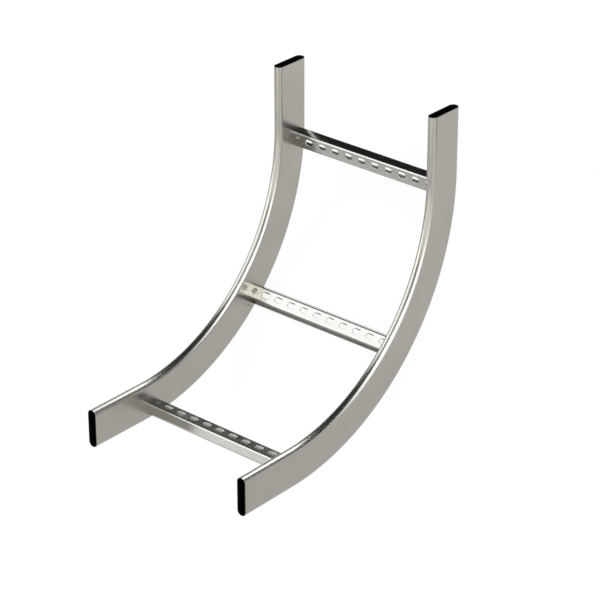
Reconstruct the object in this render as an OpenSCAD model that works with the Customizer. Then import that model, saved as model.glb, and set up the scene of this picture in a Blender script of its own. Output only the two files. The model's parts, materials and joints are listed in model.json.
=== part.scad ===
// Cable ladder vertical inside bend: two flat-oval tube rails joined by perforated channel rungs.
// It lies on the convex edges of its rails. X runs along the bend, Y across it, and Z points to
// the bend's centre. The origin is on the ground, under the middle of the bend.

/* [Overall] */
// Width over the two side rails
overall_width = 300; // [150:10:600]
// Angle that the bend turns through, in degrees
bend_angle = 90; // [60:5:100]
// Radius of the rails' concave edges
inner_radius = 300; // [200:10:600]
// Straight run past the bend at each end
tangent_length = 100; // [50:5:200]

/* [Side rails] */
// Height of the flat-oval tube, from its convex edge to its concave edge
rail_height = 60; // [50:1:100]
// Thickness of the flat-oval tube, across its two flat faces
rail_thickness = 15; // [10:0.5:20]
// Wall of the flat-oval tube
rail_wall = 1.5; // [1:0.1:3]

/* [Rungs] */
// Width of the flat of the rung's web, between its two folds
rung_web = 17; // [14:0.5:30]
// Width over the feet of the rung's two flanges
rung_foot_width = 30; // [26:0.5:40]
// Depth of the rung, from the face of its web to the outside of its lips
rung_depth = 15.5; // [12:0.5:25]
// Length of the rung's longer lip
rung_long_lip = 8.5; // [4:0.5:12]
// Length of the rung's shorter lip
rung_short_lip = 3.5; // [3.5:0.5:12]
// Thickness of the sheet that the rung is folded from
rung_sheet = 1.5; // [1:0.1:2.5]
// Inside radius of the rung's folds
rung_fold_radius = 1.5; // [0.5:0.1:2]
// Height of the lips above the convex edges of the rails
rung_seat = 5.5; // [4:0.5:15]
// Distance from the start of the bend to the middle of an end rung, in line with the straight run
rung_inset = 26; // [-30:1:30]

/* [Slots] */
// Length of a slot in the rung's web
slot_length = 14; // [9:0.5:20]
// Width of a slot in the rung's web
slot_width = 8.5; // [5:0.5:10]
// Distance between the middles of neighbouring slots
slot_pitch = 25; // [21:0.5:40]
// Distance of the slots from the middle of the web, towards the upper end
slot_shift = 1; // [-2:0.5:2]

/* [Hidden] */

$fn = 96;
// How far a cut runs past the face that it leaves
overcut = 1;
outer_radius = inner_radius + rail_height;
rail_centre_y = (overall_width - rail_thickness) / 2;
rung_length = overall_width - 2 * rail_thickness;
rung_fold_outside = rung_fold_radius + rung_sheet;
// Width of the open mouth between a rung's two lips
rung_mouth = rung_foot_width - rung_short_lip - rung_long_lip;
// Centres of a rung's folds, beside the web and at the foot of the flange
web_fold = [rung_web / 2, rung_depth - rung_fold_outside];
lip_fold = [rung_foot_width / 2 - rung_fold_outside, rung_fold_outside];
// Lean of a rung's flange from square to its web
flange_lean = atan((lip_fold.x - web_fold.x) / (web_fold.y - lip_fold.y));
// How far the round of a fold stands over the flat of the flange, so that the two join in one piece
fold_lap = 0.002;
// Height where the cut of a slot starts, below the inside of the web
slot_cut_base = rung_depth - rung_sheet - overcut;
// Slots on each side of the middle, the last of them cut open by the rung's end
slots_per_side = ceil((rung_length + slot_length) / (2 * slot_pitch) - 1 / 2);
rail_colour = [0.64, 0.63, 0.61];
rung_colour = [0.74, 0.74, 0.73];

// Flat oval, centred, with its length along X
module flat_oval(length, width) {
    square([length - width, width], center = true);
    for (end = [-1, 1])
        translate([end * (length - width) / 2, 0])
            circle(d = width);
}

// Section of the rail's tube, centred, with its height along X
module tube_section() {
    difference() {
        flat_oval(rail_height, rail_thickness);
        flat_oval(rail_height - 2 * rail_wall, rail_thickness - 2 * rail_wall);
    }
}

// Outline round a rung's four folds, at one radius from their centres
module fold_outline(radius) {
    polygon([web_fold, lip_fold, [-lip_fold.x, lip_fold.y], [-web_fold.x, web_fold.y]]);
    translate([-web_fold.x, web_fold.y])
        square([2 * web_fold.x, radius]);
    translate([-lip_fold.x, lip_fold.y - radius])
        square([2 * lip_fold.x, radius]);
    for (side = [0, 1])
        mirror([side, 0]) {
            translate(lip_fold)
                rotate(flange_lean)
                    translate([-radius, 0])
                        square([2 * radius - fold_lap, norm(web_fold - lip_fold)]);
            for (fold = [web_fold, lip_fold])
                translate(fold)
                    circle(r = radius);
        }
}

// Section of a rung: a channel with its web up, leaning flanges and lips that leave its mouth open.
// Its longer lip is towards X.
module channel_section() {
    difference() {
        fold_outline(rung_fold_outside);
        fold_outline(rung_fold_radius);
        translate([rung_short_lip - rung_foot_width / 2, -overcut])
            square([rung_mouth, rung_sheet + 2 * overcut]);
    }
}

// Carries what lies on the convex edge at the middle of the bend round to another angle of it
module round_the_bend(angle) {
    translate([0, 0, outer_radius])
        rotate([0, -angle, 0])
            translate([0, 0, -outer_radius])
                children();
}

// Curved part of a rail
module rail_bend() {
    translate([0, 0, outer_radius])
        rotate([90, 90 + bend_angle / 2, 0])
            rotate_extrude(angle = bend_angle)
                translate([outer_radius - rail_height / 2, 0])
                    tube_section();
}

// Straight end of a rail
module rail_tangent() {
    round_the_bend(bend_angle / 2)
        translate([0, 0, rail_height / 2])
            rotate([0, 90, 0])
                linear_extrude(tangent_length)
                    tube_section();
}

// Rail on the left (side 1) or the right (side -1) of the run, bent from one tube
module side_rail(side) {
    color(rail_colour)
        translate([0, side * rail_centre_y, 0]) {
            rail_bend();
            for (end = [0, 1])
                mirror([end, 0, 0])
                    rail_tangent();
        }
}

// Rung at the lowest point of the bend: a perforated channel cut to the width between the rails,
// with its longer lip towards the upper end (lip_side 1) or the lower one (lip_side -1)
module rung(lip_side) {
    translate([0, 0, rung_seat])
        difference() {
            rotate([90, 0, 0])
                linear_extrude(rung_length, center = true)
                    mirror([lip_side < 0 ? 1 : 0, 0])
                        channel_section();
            for (side = [-1, 1], place = [1 : slots_per_side])
                translate([slot_shift, side * (place - 1 / 2) * slot_pitch, slot_cut_base])
                    linear_extrude(rung_sheet + 2 * overcut)
                        rotate(90)
                            flat_oval(slot_length, slot_width);
        }
}

// Rung near one end (1 or -1), square to the straight run there
module end_rung(end) {
    color(rung_colour)
        round_the_bend(end * bend_angle / 2)
            translate([-end * rung_inset, 0, 0])
                rung(-1);
}

module left_side_rail() {
    side_rail(1);
}

module right_side_rail() {
    side_rail(-1);
}

module lower_rung() {
    end_rung(-1);
}

module middle_rung() {
    color(rung_colour)
        rung(1);
}

module upper_rung() {
    end_rung(1);
}

left_side_rail();
right_side_rail();
lower_rung();
middle_rung();
upper_rung();
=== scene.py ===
"""Looks of a cable ladder's vertical bend: fine meshes for its rails and rungs, satin steel, studio and camera."""

import json
import math

import bpy
import numpy as np
from mathutils import Matrix, Vector


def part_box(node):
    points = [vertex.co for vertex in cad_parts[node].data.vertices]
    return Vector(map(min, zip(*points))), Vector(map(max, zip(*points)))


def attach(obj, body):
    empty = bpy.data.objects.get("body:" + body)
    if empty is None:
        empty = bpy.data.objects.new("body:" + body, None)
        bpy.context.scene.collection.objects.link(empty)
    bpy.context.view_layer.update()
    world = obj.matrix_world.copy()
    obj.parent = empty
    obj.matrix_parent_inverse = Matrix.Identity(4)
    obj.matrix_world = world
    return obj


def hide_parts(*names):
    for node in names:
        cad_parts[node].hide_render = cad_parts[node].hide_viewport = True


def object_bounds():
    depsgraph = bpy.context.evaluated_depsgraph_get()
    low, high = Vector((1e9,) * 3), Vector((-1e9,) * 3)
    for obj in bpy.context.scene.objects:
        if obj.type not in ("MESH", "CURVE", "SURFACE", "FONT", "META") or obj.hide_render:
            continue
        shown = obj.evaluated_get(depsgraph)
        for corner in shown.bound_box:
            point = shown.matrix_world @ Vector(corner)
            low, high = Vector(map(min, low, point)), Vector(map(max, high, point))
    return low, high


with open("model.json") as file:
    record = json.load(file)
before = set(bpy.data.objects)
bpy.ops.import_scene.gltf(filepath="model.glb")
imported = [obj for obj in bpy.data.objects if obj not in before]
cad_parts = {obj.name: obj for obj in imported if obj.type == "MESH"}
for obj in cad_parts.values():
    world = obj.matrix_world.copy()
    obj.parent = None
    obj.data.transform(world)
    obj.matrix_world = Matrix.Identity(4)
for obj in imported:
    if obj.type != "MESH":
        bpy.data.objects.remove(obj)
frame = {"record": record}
cad_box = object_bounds()

MM = 0.001

# Driving sizes of the solids
BEND_ANGLE = math.radians(90)
INNER_RADIUS = 300 * MM
TANGENT_LENGTH = 100 * MM
RAIL_HEIGHT = 60 * MM
RAIL_WALL = 1.5 * MM
RUNG_WEB = 17 * MM
RUNG_LONG_LIP = 8.5 * MM
RUNG_SHORT_LIP = 3.5 * MM
RUNG_SHEET = 1.5 * MM
RUNG_FOLD_RADIUS = 1.5 * MM
RUNG_INSET = 26 * MM

# Sizes read from the frame
slot_pair = frame["record"]["mounts"][0]
SLOT_LENGTH = slot_pair["dims"]["slot_length_mm"] * MM
SLOT_WIDTH = 2 * slot_pair["dims"]["hole_r_mm"] * MM
SLOT_PITCH = slot_pair["dims"]["spacing_y_mm"] * MM
SLOT_SHIFT = slot_pair["pos_m"][0]
rail_low, rail_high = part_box("left_side_rail")
RAIL_THICKNESS = rail_high.y - rail_low.y
RAIL_CENTRE_Y = (rail_high.y + rail_low.y) / 2
rung_low, rung_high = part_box("middle_rung")
RUNG_LENGTH = rung_high.y - rung_low.y
RUNG_WIDTH = rung_high.x - rung_low.x
RUNG_DEPTH = rung_high.z - rung_low.z
RUNG_SEAT = rung_low.z

# Worked out from them
OUTER_RADIUS = INNER_RADIUS + RAIL_HEIGHT
CENTRE_RADIUS = OUTER_RADIUS - RAIL_HEIGHT / 2
RAIL_RUN = 2 * TANGENT_LENGTH + CENTRE_RADIUS * BEND_ANGLE
FOLD_OUTSIDE = RUNG_FOLD_RADIUS + RUNG_SHEET
WEB_HALF = RUNG_WEB / 2
FOOT_HALF = RUNG_WIDTH / 2 - FOLD_OUTSIDE
FOLD_HEIGHT = RUNG_DEPTH - FOLD_OUTSIDE
FLANGE_LEAN = math.atan2(FOOT_HALF - WEB_HALF, FOLD_HEIGHT - FOLD_OUTSIDE)
SLOT_RADIUS = SLOT_WIDTH / 2
SLOT_CENTRE = (SLOT_LENGTH - SLOT_WIDTH) / 2
WHOLE_SLOTS = int(RUNG_LENGTH / 2 / SLOT_PITCH)

# Rounding that sawing, folding and punching leave on the edges
RIM_ROUNDING = 0.3 * MM
SHEET_ROUNDING = 0.4 * MM
SLOT_ROUNDING = 0.35 * MM

# Steps in the meshes
OVAL_STEPS = 24
FLAT_STEPS = 6
BEND_STEPS = 90
TANGENT_STEPS = 6
EDGE_STEPS = 3
FOLD_STEPS = 8
SLOT_STEPS = 5
WELD_STEP = 0.001 * MM
# Row of a slot's grid where its wall starts, past the web around it and the rounded edge
WALL_ROW = EDGE_STEPS + 2
# Column of a flange's grid where its inside starts, past two folds and the lip's edge
INSIDE_COLUMN = 2 * (FOLD_STEPS + 1) + 2 * (EDGE_STEPS + 1) - 1

# Places of the finishes in a rail's list and in a rung's
RAIL_OUTSIDE, RAIL_BORE = range(2)
RUNG_OUTSIDE, SLOT_WALL, RUNG_INSIDE = range(3)


class Shell:
    """Grids of points with their normals, welded into one mesh where they meet."""

    def __init__(self):
        self.points = []
        self.normals = []
        self.runs = []
        self.faces = []
        self.finishes = []
        self.count = 0

    def keep(self, points, normals, runs):
        """Takes in points and returns the number of the first."""
        first = self.count
        self.points.append(points.reshape(-1, 3))
        self.normals.append(normals.reshape(-1, 3))
        self.runs.append(runs.reshape(-1, 2))
        self.count += len(self.points[-1])
        return first

    def grid(self, points, normals, runs, finish=0):
        """Adds rows by columns of points. Its quads face the way its normals point."""
        rows, columns = points.shape[:2]
        index = np.arange(rows * columns).reshape(rows, columns)
        corners = [index[:-1, :-1], index[:-1, 1:], index[1:, 1:], index[1:, :-1]]
        quads = np.stack(corners, -1).reshape(-1, 4)
        flat = points.reshape(-1, 3)
        facing = np.cross(flat[quads[:, 2]] - flat[quads[:, 0]], flat[quads[:, 3]] - flat[quads[:, 1]])
        wanted = normals.reshape(-1, 3)[quads].sum(1)
        away = (facing * wanted).sum(1) < 0
        quads[away] = quads[away, ::-1]
        first = self.keep(points, normals, runs)
        self.faces.extend((quads + first).tolist())
        self.finishes.extend([finish] * len(quads))

    def polygon(self, points, normal, runs, finish=0):
        """Adds one flat face. Its points go round it either way."""
        spokes = points - points.mean(0)
        around = np.cross(spokes, np.roll(spokes, -1, 0)).sum(0)
        order = np.arange(len(points))
        if around @ normal < 0:
            order = order[::-1]
        first = self.keep(points, np.tile(normal, (len(points), 1)), runs)
        self.faces.append((order + first).tolist())
        self.finishes.append(finish)

    def make(self, name, finishes, place):
        """Moves the points by place, welds them and returns the object."""
        turn = np.array(place.to_3x3())
        points = np.concatenate(self.points) @ turn.T + np.array(place.translation)
        normals = np.concatenate(self.normals) @ turn.T
        runs = np.concatenate(self.runs)
        spots = np.round(points / WELD_STEP)
        _, kept, welded = np.unique(spots, axis=0, return_index=True, return_inverse=True)
        welded = welded.reshape(-1)
        faces, corners, face_finishes = [], [], []
        for face, finish in zip(self.faces, self.finishes):
            ring = [c for i, c in enumerate(face) if welded[c] != welded[face[i - 1]]]
            if len(ring) > 2:
                faces.append([int(welded[c]) for c in ring])
                corners.extend(ring)
                face_finishes.append(finish)
        mesh = bpy.data.meshes.new(name)
        mesh.from_pydata(points[kept].tolist(), [], faces)
        mesh.polygons.foreach_set("use_smooth", [True] * len(faces))
        mesh.polygons.foreach_set("material_index", face_finishes)
        layer = mesh.uv_layers.new(name="run")
        layer.uv.foreach_set("vector", runs[corners].astype(np.float32).ravel())
        for finish in finishes:
            mesh.materials.append(finish)
        mesh.normals_split_custom_set(normals[corners].tolist())
        obj = bpy.data.objects.new(name, mesh)
        bpy.context.scene.collection.objects.link(obj)
        return obj


def round_the_bend(angle):
    """Carries what lies on the convex edge at the middle of the bend round to another angle of it."""
    middle = Matrix.Translation((0, 0, OUTER_RADIUS))
    return middle @ Matrix.Rotation(-angle, 4, "Y") @ middle.inverted()


def rail_stations(run):
    """Centre of the rail's section and its directions inward and along, at each distance of run."""
    before = np.minimum(run - TANGENT_LENGTH, 0)
    after = np.maximum(run - (RAIL_RUN - TANGENT_LENGTH), 0)
    angle = (run - before - after - RAIL_RUN / 2) / CENTRE_RADIUS
    level = np.zeros_like(angle)
    inward = np.stack([-np.sin(angle), level, np.cos(angle)], -1)
    along = np.stack([np.cos(angle), level, np.sin(angle)], -1)
    bend_centre = np.array([0, 0, OUTER_RADIUS])
    centre = bend_centre - CENTRE_RADIUS * inward + (before + after)[:, None] * along
    return centre, inward, along


def oval_ring():
    """Round the tube's section: height of the round's centre, direction out (across, inward), distance."""
    half_straight = (RAIL_HEIGHT - RAIL_THICKNESS) / 2
    rise = np.linspace(-half_straight, half_straight, FLAT_STEPS + 1)
    turn = np.linspace(0, math.pi, OVAL_STEPS + 1)[1:-1]
    top = np.full(len(turn), half_straight)
    height = np.concatenate([rise, top, rise[::-1], -top, rise[:1]])
    side = np.zeros(len(rise))
    angle = np.concatenate([side, turn, side + math.pi, turn + math.pi, side[:1]])
    out = np.stack([np.cos(angle), np.sin(angle)], -1)
    outline = out * RAIL_THICKNESS / 2
    outline[:, 1] += height
    steps = np.linalg.norm(np.diff(outline, axis=0), axis=1)
    return height, out, np.concatenate([[0], np.cumsum(steps)])


def rim_rows(end):
    """Over the tube's sawn end (1 or -1), outside to inside: depth in the wall, run, slope out and along."""
    turn = np.linspace(0, math.pi / 2, EDGE_STEPS + 1)
    sine, cosine = np.sin(turn), np.cos(turn)
    outer_depth = RIM_ROUNDING * (1 - cosine)
    depth = np.concatenate([outer_depth, RAIL_WALL - outer_depth[::-1]])
    rise = np.concatenate([sine, sine[::-1]])
    short = RIM_ROUNDING * (1 - rise)
    run = RAIL_RUN - short if end > 0 else short
    return depth, run, np.concatenate([cosine, -cosine[::-1]]), end * rise


def make_rail(name, side, outside, inside):
    """A bent flat-oval tube with its bore and rounded end rims."""
    bend = TANGENT_LENGTH + CENTRE_RADIUS * np.linspace(0, BEND_ANGLE, BEND_STEPS + 1)
    lower = np.linspace(RIM_ROUNDING, TANGENT_LENGTH, TANGENT_STEPS + 1)[:-1]
    upper = RAIL_RUN - lower[::-1]
    whole_run = np.concatenate([lower, bend, upper])
    none = np.zeros_like(whole_run)
    outer_rows = none, whole_run, none + 1, none
    inner_rows = none + RAIL_WALL, whole_run, none - 1, none
    height, out, around = oval_ring()
    across = np.array([0, 1, 0])
    shell = Shell()
    # The bore and both end rims take the near-black painted shade of the tube's mouth.
    surfaces = ((outer_rows, RAIL_OUTSIDE), (inner_rows, RAIL_BORE),
                (rim_rows(1), RAIL_BORE), (rim_rows(-1), RAIL_BORE))
    for rows, finish in surfaces:
        depth, run, out_slope, along_slope = rows
        centre, inward, along = rail_stations(run)
        facing = out[None, :, :1] * across + out[None, :, 1:] * inward[:, None]
        reach = RAIL_THICKNESS / 2 - depth
        points = centre[:, None] + height[None, :, None] * inward[:, None] + reach[:, None, None] * facing
        normals = out_slope[:, None, None] * facing + (along_slope[:, None] * along)[:, None]
        runs = np.stack(np.broadcast_arrays(run[:, None], around[None] + depth[:, None]), -1)
        shell.grid(points, normals, runs, finish)
    return shell.make(name, [outside, inside], Matrix.Translation((0, side * RAIL_CENTRE_Y, 0)))


def slot_side(mirror, cut=None):
    """Along one side of a slot from its near end: arc's centre along Y, direction out and reach to the cell's edge.
    A slot that the rung's end cuts open stops at cut, measured from the slot's middle."""
    end_reach = SLOT_PITCH / 2 - SLOT_CENTRE
    side_reach = WEB_HALF - mirror * SLOT_SHIFT
    corner = math.atan2(side_reach, end_reach)
    to_corner = np.linspace(0, corner, SLOT_STEPS + 1)
    to_side = np.linspace(corner, math.pi / 2, SLOT_STEPS + 1)[1:]
    turn = np.concatenate([to_corner, to_side])
    out = np.stack([-np.cos(turn), np.sin(turn)], -1)
    reach = np.concatenate([end_reach / np.cos(to_corner), side_reach / np.sin(to_side)])
    centre = np.full(len(turn), -SLOT_CENTRE)
    if cut is None:
        far_out = out[::-1] * [-1, 1]
        return (np.concatenate([centre, -centre]), np.concatenate([out, far_out]),
                np.concatenate([reach, reach[::-1]]))
    return np.append(centre, cut), np.append(out, [[0, 1]], 0), np.append(reach, side_reach)


def slot_rows():
    """From a cell's edge on the web's upper face, through the slot, to its edge on the lower face:
    share of the way to the cell's edge, radius, height and slope out and up."""
    turn = np.linspace(0, math.pi / 2, EDGE_STEPS + 1)
    sine, cosine = np.sin(turn), np.cos(turn)
    round_radius = SLOT_RADIUS + SLOT_ROUNDING * (1 - sine)
    round_height = RUNG_DEPTH - SLOT_ROUNDING * (1 - cosine)
    under_height = 2 * RUNG_DEPTH - RUNG_SHEET - round_height
    share = np.array([1, 0.5, *np.zeros(2 * len(turn)), 0.5, 1])
    radius = np.concatenate([round_radius[[0, 0]], round_radius, round_radius[::-1], round_radius[[0, 0]]])
    height = np.concatenate([round_height[[0, 0]], round_height, under_height[::-1], under_height[[0, 0]]])
    slope_out = -np.concatenate([[0, 0], sine, sine[::-1], [0, 0]])
    slope_up = np.concatenate([[1, 1], cosine, -cosine[::-1], [-1, -1]])
    return share, radius, height, slope_out, slope_up


def add_slot(shell, middle, flip, mirror, cut=None):
    """One side of a slot with the web around it, turned about X by flip and about Y by mirror.
    Returns the points of its last column."""
    centre, out, reach = slot_side(mirror, cut)
    share, radius, height, slope_out, slope_up = slot_rows()
    distance = radius[:, None] * (1 - share[:, None]) + reach[None] * share[:, None]
    y = middle + flip * (centre[None] + out[None, :, 0] * distance)
    x = SLOT_SHIFT + mirror * out[None, :, 1] * distance
    points = np.stack(np.broadcast_arrays(x, y, height[:, None]), -1)
    normal_x = mirror * out[None, :, 1] * slope_out[:, None]
    normal_y = flip * out[None, :, 0] * slope_out[:, None]
    normals = np.stack(np.broadcast_arrays(normal_x, normal_y, slope_up[:, None]), -1)
    runs = np.stack([y, x], -1)
    parts = ((slice(WALL_ROW + 1), RUNG_OUTSIDE), (slice(WALL_ROW, WALL_ROW + 2), SLOT_WALL),
             (slice(WALL_ROW + 1, None), RUNG_INSIDE))
    for rows, finish in parts:
        shell.grid(points[rows], normals[rows], runs[rows], finish)
    return points[:, -1]


def flange_section(lip):
    """From the web's upper face over the folds, round the lip's edge and back: (X, Z), normals and distance."""
    up, level = math.pi / 2, math.pi
    lip_x = RUNG_WIDTH / 2 - lip + SHEET_ROUNDING
    arcs = (
        (WEB_HALF, FOLD_HEIGHT, FOLD_OUTSIDE, up, FLANGE_LEAN, FOLD_STEPS),
        (FOOT_HALF, FOLD_OUTSIDE, FOLD_OUTSIDE, FLANGE_LEAN, -up, FOLD_STEPS),
        (lip_x, SHEET_ROUNDING, SHEET_ROUNDING, -up, -level, EDGE_STEPS),
        (lip_x, RUNG_SHEET - SHEET_ROUNDING, SHEET_ROUNDING, -level, -3 * up, EDGE_STEPS),
        (FOOT_HALF, FOLD_OUTSIDE, -RUNG_FOLD_RADIUS, up, level + FLANGE_LEAN, FOLD_STEPS),
        (WEB_HALF, FOLD_HEIGHT, -RUNG_FOLD_RADIUS, level + FLANGE_LEAN, 3 * up, FOLD_STEPS),
    )
    points, normals = [], []
    for x, z, radius, first, last, steps in arcs:
        angle = np.linspace(first, last, steps + 1)
        direction = np.stack([np.cos(angle), np.sin(angle)], -1)
        normals.append(direction)
        points.append(np.array([x, z]) + radius * direction)
    points, normals = np.concatenate(points), np.concatenate(normals)
    gaps = np.linalg.norm(np.diff(points, axis=0), axis=1)
    return points, normals, WEB_HALF + np.concatenate([[0], np.cumsum(gaps)])


def side_places(slots, mirror):
    """Places along Y of the points where the slots' cells meet one fold."""
    places = []
    for middle, flip, cut in slots:
        centre, out, reach = slot_side(mirror, cut)
        at_side = np.isclose(out[:, 1] * reach, WEB_HALF - mirror * SLOT_SHIFT)
        places.append(middle + flip * (centre + out[:, 0] * reach)[at_side])
    return np.unique(np.round(np.concatenate(places), 9))


def make_rung(name, end, lip_side, finishes):
    """A folded channel with a row of slots, the outermost ones cut open by its ends. Its longer lip is towards
    the upper end (1) or the lower one (-1). Its finishes are those outside, on the slots' walls and inside."""
    end_middle = (WHOLE_SLOTS + 0.5) * SLOT_PITCH
    cut = RUNG_LENGTH / 2 - end_middle
    middles = (np.arange(2 * WHOLE_SLOTS) + 0.5 - WHOLE_SLOTS) * SLOT_PITCH
    slots = [(middle, 1, None) for middle in middles]
    slots += [(flip * end_middle, flip, cut) for flip in (-1, 1)]
    shell = Shell()
    for mirror, lip in ((-lip_side, RUNG_SHORT_LIP), (lip_side, RUNG_LONG_LIP)):
        places = side_places(slots, mirror)
        section, section_normals, distance = flange_section(lip)
        x, z = section[:, 0] * mirror, section[:, 1]
        strip = np.stack(np.broadcast_arrays(x[None], places[:, None], z[None]), -1)
        facing = np.stack([section_normals[:, 0] * mirror, np.zeros(len(x)), section_normals[:, 1]], -1)
        runs = np.stack(np.broadcast_arrays(places[:, None], mirror * distance[None]), -1)
        facing = np.broadcast_to(facing, strip.shape)
        parts = (slice(INSIDE_COLUMN + 1), RUNG_OUTSIDE), (slice(INSIDE_COLUMN, None), RUNG_INSIDE)
        for columns, finish in parts:
            shell.grid(strip[:, columns], facing[:, columns], runs[:, columns], finish)
        for middle, flip, slot_cut in slots:
            last = add_slot(shell, middle, flip, mirror, slot_cut)
            if slot_cut is not None:
                end_strip = strip[-1 if flip > 0 else 0]
                outline = np.concatenate([last, end_strip[::-1][1:-1]])
                shell.polygon(outline, np.array([0, flip, 0]), outline[:, ::2])
    place = round_the_bend(end * BEND_ANGLE / 2) @ Matrix.Translation((-end * RUNG_INSET, 0, RUNG_SEAT))
    return shell.make(name, finishes, place)


# Grain of the steel: sizes in metres, shares of the colour and of the roughness
MOTTLE_SIZE = 60 * MM
MOTTLE_SHARE = 0.05
LINE_LENGTH = 90 * MM
LINE_WIDTH = 0.7 * MM
LINE_SHARE = 0.03
LINE_SHEEN = 0.06
GRAIN_SIZE = 0.5 * MM
GRAIN_DEPTH = 0.001 * MM
MOTTLE_DETAIL, LINE_DETAIL, GRAIN_DETAIL = 3, 2, 1


def noise(tree, place, size, detail):
    """Noise with features of one size, about 0.5 in its middle."""
    texture = tree.nodes.new("ShaderNodeTexNoise")
    texture.inputs["Scale"].default_value = 1 / size
    texture.inputs["Detail"].default_value = detail
    tree.links.new(place, texture.inputs["Vector"])
    return texture.outputs["Fac"]


def scaled(tree, value, gain, offset):
    """A value times gain, plus offset, which is a number or another value."""
    sum_node = tree.nodes.new("ShaderNodeMath")
    sum_node.operation = "MULTIPLY_ADD"
    sum_node.inputs[1].default_value = gain
    tree.links.new(value, sum_node.inputs[0])
    if isinstance(offset, bpy.types.NodeSocket):
        tree.links.new(offset, sum_node.inputs[2])
    else:
        sum_node.inputs[2].default_value = offset
    return sum_node.outputs[0]


def steel(name, colour, roughness, drift=0):
    """Satin steel with a faint mottle, lines drawn along the piece and a fine grain.
    Its tone grows lighter along the run by drift per metre, which is painted light."""
    material = bpy.data.materials.new(name)
    material.use_nodes = True
    tree = material.node_tree
    shader = tree.nodes["Principled BSDF"]
    shader.inputs["Metallic"].default_value = 1
    spot = tree.nodes.new("ShaderNodeTexCoord").outputs["Object"]
    run = tree.nodes.new("ShaderNodeUVMap")
    run.uv_map = "run"
    stretch = tree.nodes.new("ShaderNodeMapping")
    stretch.inputs["Scale"].default_value = (LINE_WIDTH / LINE_LENGTH, 1, 1)
    tree.links.new(run.outputs[0], stretch.inputs["Vector"])
    mottle = noise(tree, spot, MOTTLE_SIZE, MOTTLE_DETAIL)
    lines = noise(tree, stretch.outputs[0], LINE_WIDTH, LINE_DETAIL)
    grain = noise(tree, spot, GRAIN_SIZE, GRAIN_DETAIL)

    shade = scaled(tree, mottle, 4 * MOTTLE_SHARE, 1 - 2 * MOTTLE_SHARE - LINE_SHARE)
    shade = scaled(tree, lines, 2 * LINE_SHARE, shade)
    along = tree.nodes.new("ShaderNodeSeparateXYZ")
    tree.links.new(run.outputs[0], along.inputs[0])
    # Painted light: the tone grows lighter along the run, from the lower end to the upper end.
    shade = scaled(tree, along.outputs["X"], drift, shade)
    tint = tree.nodes.new("ShaderNodeMix")
    tint.data_type = "RGBA"
    tint.blend_type = "MULTIPLY"
    tint.inputs["Factor"].default_value = 1
    tint.inputs["A"].default_value = (*colour, 1)
    tree.links.new(shade, tint.inputs["B"])
    tree.links.new(tint.outputs["Result"], shader.inputs["Base Color"])

    sheen = scaled(tree, lines, LINE_SHEEN, roughness - LINE_SHEEN)
    tree.links.new(scaled(tree, mottle, LINE_SHEEN, sheen), shader.inputs["Roughness"])

    bump = tree.nodes.new("ShaderNodeBump")
    bump.inputs["Distance"].default_value = GRAIN_DEPTH
    tree.links.new(scaled(tree, lines, 1, grain), bump.inputs["Height"])
    tree.links.new(bump.outputs[0], shader.inputs["Normal"])
    return material


# Painted light: the rails grow lighter by 0.16 of their tone from the lower end to the upper end.
RAIL_PAINTED_LIGHT_DRIFT = 0.16 / RAIL_RUN

rail_finish = steel("rail_satin_steel", (0.342, 0.328, 0.294), 0.25, RAIL_PAINTED_LIGHT_DRIFT)
# Painted shade: near black in the bore and on the sawn end rims, for the dark inside of the tube's mouths.
bore_and_rim_painted_shade = steel("rail_bore_and_rim_painted_shade", (0.01, 0.01, 0.01), 0.6)
rung_finish = steel("rung_satin_steel", (0.374, 0.371, 0.346), 0.18)
# Partly painted light: sheared slot walls are brighter steel, and made lighter still to stand in for light on walls
# that lie in shade.
slot_wall_painted_light = steel("slot_sheared_steel_painted_light", (0.78, 0.78, 0.75), 0.5)
# Painted light: the channels' inside is a lighter copy of the rung's steel, standing in for light that reaches in
# through the slots.
rung_inside_painted_light = steel("rung_inner_steel_painted_light", (0.5, 0.495, 0.47), 0.3)

for side_name, side in (("left", 1), ("right", -1)):
    node = f"{side_name}_side_rail"
    piece = make_rail(f"{side_name}_rail_tube", side, rail_finish, bore_and_rim_painted_shade)
    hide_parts(node)
    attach(piece, "root")

for rung_name, end, lip_side in (("lower", -1, -1), ("middle", 0, 1), ("upper", 1, -1)):
    piece = make_rung(f"{rung_name}_rung_channel", end, lip_side, [rung_finish, slot_wall_painted_light, rung_inside_painted_light])
    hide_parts(f"{rung_name}_rung")
    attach(piece, "root")

# The bend as it is hung: its lower run level, its lower end at the origin. It is stored leaning on its arcs.
end_centre, end_inward, _ = rail_stations(np.zeros(1))
lower_end = end_centre[0] - RAIL_HEIGHT / 2 * end_inward[0]
HUNG = Matrix.Translation(lower_end) @ Matrix.Rotation(BEND_ANGLE / 2, 4, "Y")

# Camera, in the hung frame
CAMERA_AZIMUTH = math.radians(-49.155)
CAMERA_ELEVATION = math.radians(27.195)
CAMERA_ROLL = math.radians(-0.116)
CAMERA_AIM = Vector((280.5, -6.4, 176.4)) * MM
CAMERA_DISTANCE = 3720 * MM
CAMERA_LENS = 155.29
CAMERA_SENSOR = 36

camera_data = bpy.data.cameras.new("camera")
camera_data.sensor_width = CAMERA_SENSOR
camera_data.lens = CAMERA_LENS
camera = bpy.data.objects.new("camera", camera_data)
bpy.context.scene.collection.objects.link(camera)
turn = Matrix.Rotation(CAMERA_AZIMUTH, 4, "Z") @ Matrix.Rotation(math.pi / 2 - CAMERA_ELEVATION, 4, "X")
camera.matrix_world = (HUNG @ Matrix.Translation(CAMERA_AIM) @ turn @ Matrix.Rotation(CAMERA_ROLL, 4, "Z")
                       @ Matrix.Translation((0, 0, CAMERA_DISTANCE)))
bpy.context.scene.camera = camera
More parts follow.
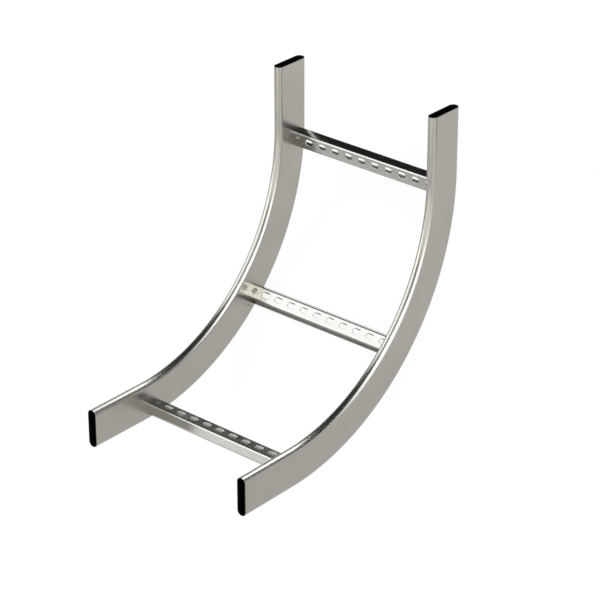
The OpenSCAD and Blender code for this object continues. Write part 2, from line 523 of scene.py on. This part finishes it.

# Studio, in the stored frame and in metres. A lamp has its direction from the bend, its distance, width and
# height, radiance and tint. A painted dark sheet has its shade and its outline on the floor; it shows only in
# what the metal mirrors, as a painted dark reflection.
BEND_MIDDLE = (cad_box[0] + cad_box[1]) / 2
MATT = 0.9
FLOOR_HALF = 6.0
FLOOR_COLOUR = 0.9
FLOOR_GLOW = 0.92
COOL = 0.92, 0.955, 1.0
PALE = 0.955, 0.975, 1.0
WHITE = 1.0, 1.0, 1.0
LAMPS = (
    ("front_softbox", (0.089, -0.878, 0.4695), 2.4, (2.58, 2.55), 3.25, COOL),
    ("front_high_card", (0.16, -0.61, 0.77), 2.0, (0.66, 0.36), 8.0, WHITE),
    ("back_softbox", (-0.094, 0.730, 0.677), 2.4, (2.45, 2.8), 2.67, PALE),
    ("right_strip", (2.40, 0.22, 0.176), 2.4, (1.95, 0.56), 5.7, COOL),
    ("left_back_fill", (-0.74, 0.66, 0.10), 2.2, (1.2, 0.5), 0.62, WHITE),
    ("left_low_fill", (-1.00, 0.00, 0.125), 1.9, (4.6, 0.68), 1.08, WHITE),
    ("left_high_fill", (-0.745, 0.00, 0.667), 1.9, (4.0, 1.28), 1.53, WHITE),
    ("front_left_fill", (-0.50, -0.84, 0.25), 2.4, (0.8, 1.4), 0.85, WHITE),
    ("overhead", (0.00, -0.05, 1.00), 1.9, (1.5, 1.2), 0.8, COOL),
)
WORLD_LIGHT = 0.02
# Painted dark reflections: dark sheets on the floor that show only in the metal's mirror, as a dark surround.
PAINTED_DARK_SHEETS = (
    ("back_right_painted_dark_sheet", 0.05, ((0.30, 0.30), (0.75, 0.20), (1.55, 0.45), (1.55, 1.35), (0.75, 1.05), (0.35, 0.60))),
    ("front_right_painted_dark_sheet", 0.05, ((0.20, -0.42), (0.90, -0.30), (1.60, -0.55), (1.30, -1.30), (0.40, -1.00))),
)
SHEET_HEIGHT = 0.5 * MM
# Painted shade: a grey flag beside the middle rung, seen only in its flange's mirror, stands for the rung's shadow
# on the floor under it.
FLAG_SHADE = 0.72
FLAG_X = -20 * MM
FLAG_HEIGHTS = 3 * MM, 12.8 * MM


def plane(name, corners, material):
    """A flat stage piece."""
    mesh = bpy.data.meshes.new(name)
    mesh.from_pydata(corners, [], [tuple(range(len(corners)))])
    mesh.materials.append(material)
    obj = bpy.data.objects.new(name, mesh)
    bpy.context.scene.collection.objects.link(obj)
    return obj


def floor_material():
    """Pale and matt. It shows nearly white to the camera and in the metal, and keeps a soft shadow."""
    material = bpy.data.materials.new("pale_floor")
    material.use_nodes = True
    tree = material.node_tree
    shader = tree.nodes["Principled BSDF"]
    shader.inputs["Base Color"].default_value = (FLOOR_COLOUR, FLOOR_COLOUR, FLOOR_COLOUR, 1)
    shader.inputs["Roughness"].default_value = MATT
    glow = tree.nodes.new("ShaderNodeEmission")
    mix = tree.nodes.new("ShaderNodeMixShader")
    path = tree.nodes.new("ShaderNodeLightPath")
    seen = tree.nodes.new("ShaderNodeMath")
    seen.operation = "ADD"
    seen_through = tree.nodes.new("ShaderNodeMath")
    seen_through.operation = "ADD"
    share = tree.nodes.new("ShaderNodeMath")
    share.operation = "MULTIPLY"
    share.inputs[1].default_value = FLOOR_GLOW
    tree.links.new(path.outputs["Is Camera Ray"], seen.inputs[0])
    tree.links.new(path.outputs["Is Glossy Ray"], seen.inputs[1])
    tree.links.new(seen.outputs[0], seen_through.inputs[0])
    tree.links.new(path.outputs["Is Transmission Ray"], seen_through.inputs[1])
    tree.links.new(seen_through.outputs[0], share.inputs[0])
    tree.links.new(share.outputs[0], mix.inputs["Fac"])
    tree.links.new(shader.outputs[0], mix.inputs[1])
    tree.links.new(glow.outputs[0], mix.inputs[2])
    tree.links.new(mix.outputs[0], tree.nodes["Material Output"].inputs["Surface"])
    return material


def softbox(name, direction, distance, size, radiance, tint):
    """A rectangular lamp that faces the bend."""
    lamp = bpy.data.lights.new(name, "AREA")
    lamp.shape = "RECTANGLE"
    lamp.size, lamp.size_y = size
    lamp.energy = radiance * math.pi * size[0] * size[1]
    lamp.color = tint
    obj = bpy.data.objects.new(name, lamp)
    bpy.context.scene.collection.objects.link(obj)
    way = Vector(direction).normalized()
    look = way.to_track_quat("Z", "Y").to_matrix().to_4x4()
    obj.matrix_world = Matrix.Translation(BEND_MIDDLE + way * distance) @ look
    obj.visible_camera = False
    return obj


def painted_dark_reflection(name, shade, corners):
    """A grey sheet or flag, darker than the floor, that shows only in what the metal mirrors: a painted dark
    reflection.
    """
    material = bpy.data.materials.new(name)
    material.use_nodes = True
    shader = material.node_tree.nodes["Principled BSDF"]
    shader.inputs["Base Color"].default_value = (shade, shade, shade, 1)
    shader.inputs["Roughness"].default_value = MATT
    shader.inputs["Specular IOR Level"].default_value = 0
    sheet = plane(name, corners, material)
    sheet.visible_camera = False
    sheet.visible_diffuse = False
    sheet.visible_shadow = False


floor_corners = [(x * FLOOR_HALF, y * FLOOR_HALF, 0) for x, y in ((-1, -1), (1, -1), (1, 1), (-1, 1))]
plane("floor", floor_corners, floor_material())
for lamp_facts in LAMPS:
    softbox(*lamp_facts)
for sheet_name, shade, outline in PAINTED_DARK_SHEETS:
    painted_dark_reflection(sheet_name, shade, [(x, y, SHEET_HEIGHT) for x, y in outline])
# The flag is painted shade, seen only in the middle rung's flange.
flag_ends = rung_low.y, rung_high.y
flag_corners = [(FLAG_X, flag_ends[i], FLAG_HEIGHTS[j]) for i, j in ((0, 0), (1, 0), (1, 1), (0, 1))]
painted_dark_reflection("middle_rung_painted_shade_flag", FLAG_SHADE, flag_corners)

world = bpy.data.worlds.new("studio")
world.use_nodes = True
world.node_tree.nodes["Background"].inputs["Color"].default_value = (WORLD_LIGHT, WORLD_LIGHT, WORLD_LIGHT, 1)
bpy.context.scene.world = world
bpy.context.scene.view_settings.view_transform = "Standard"
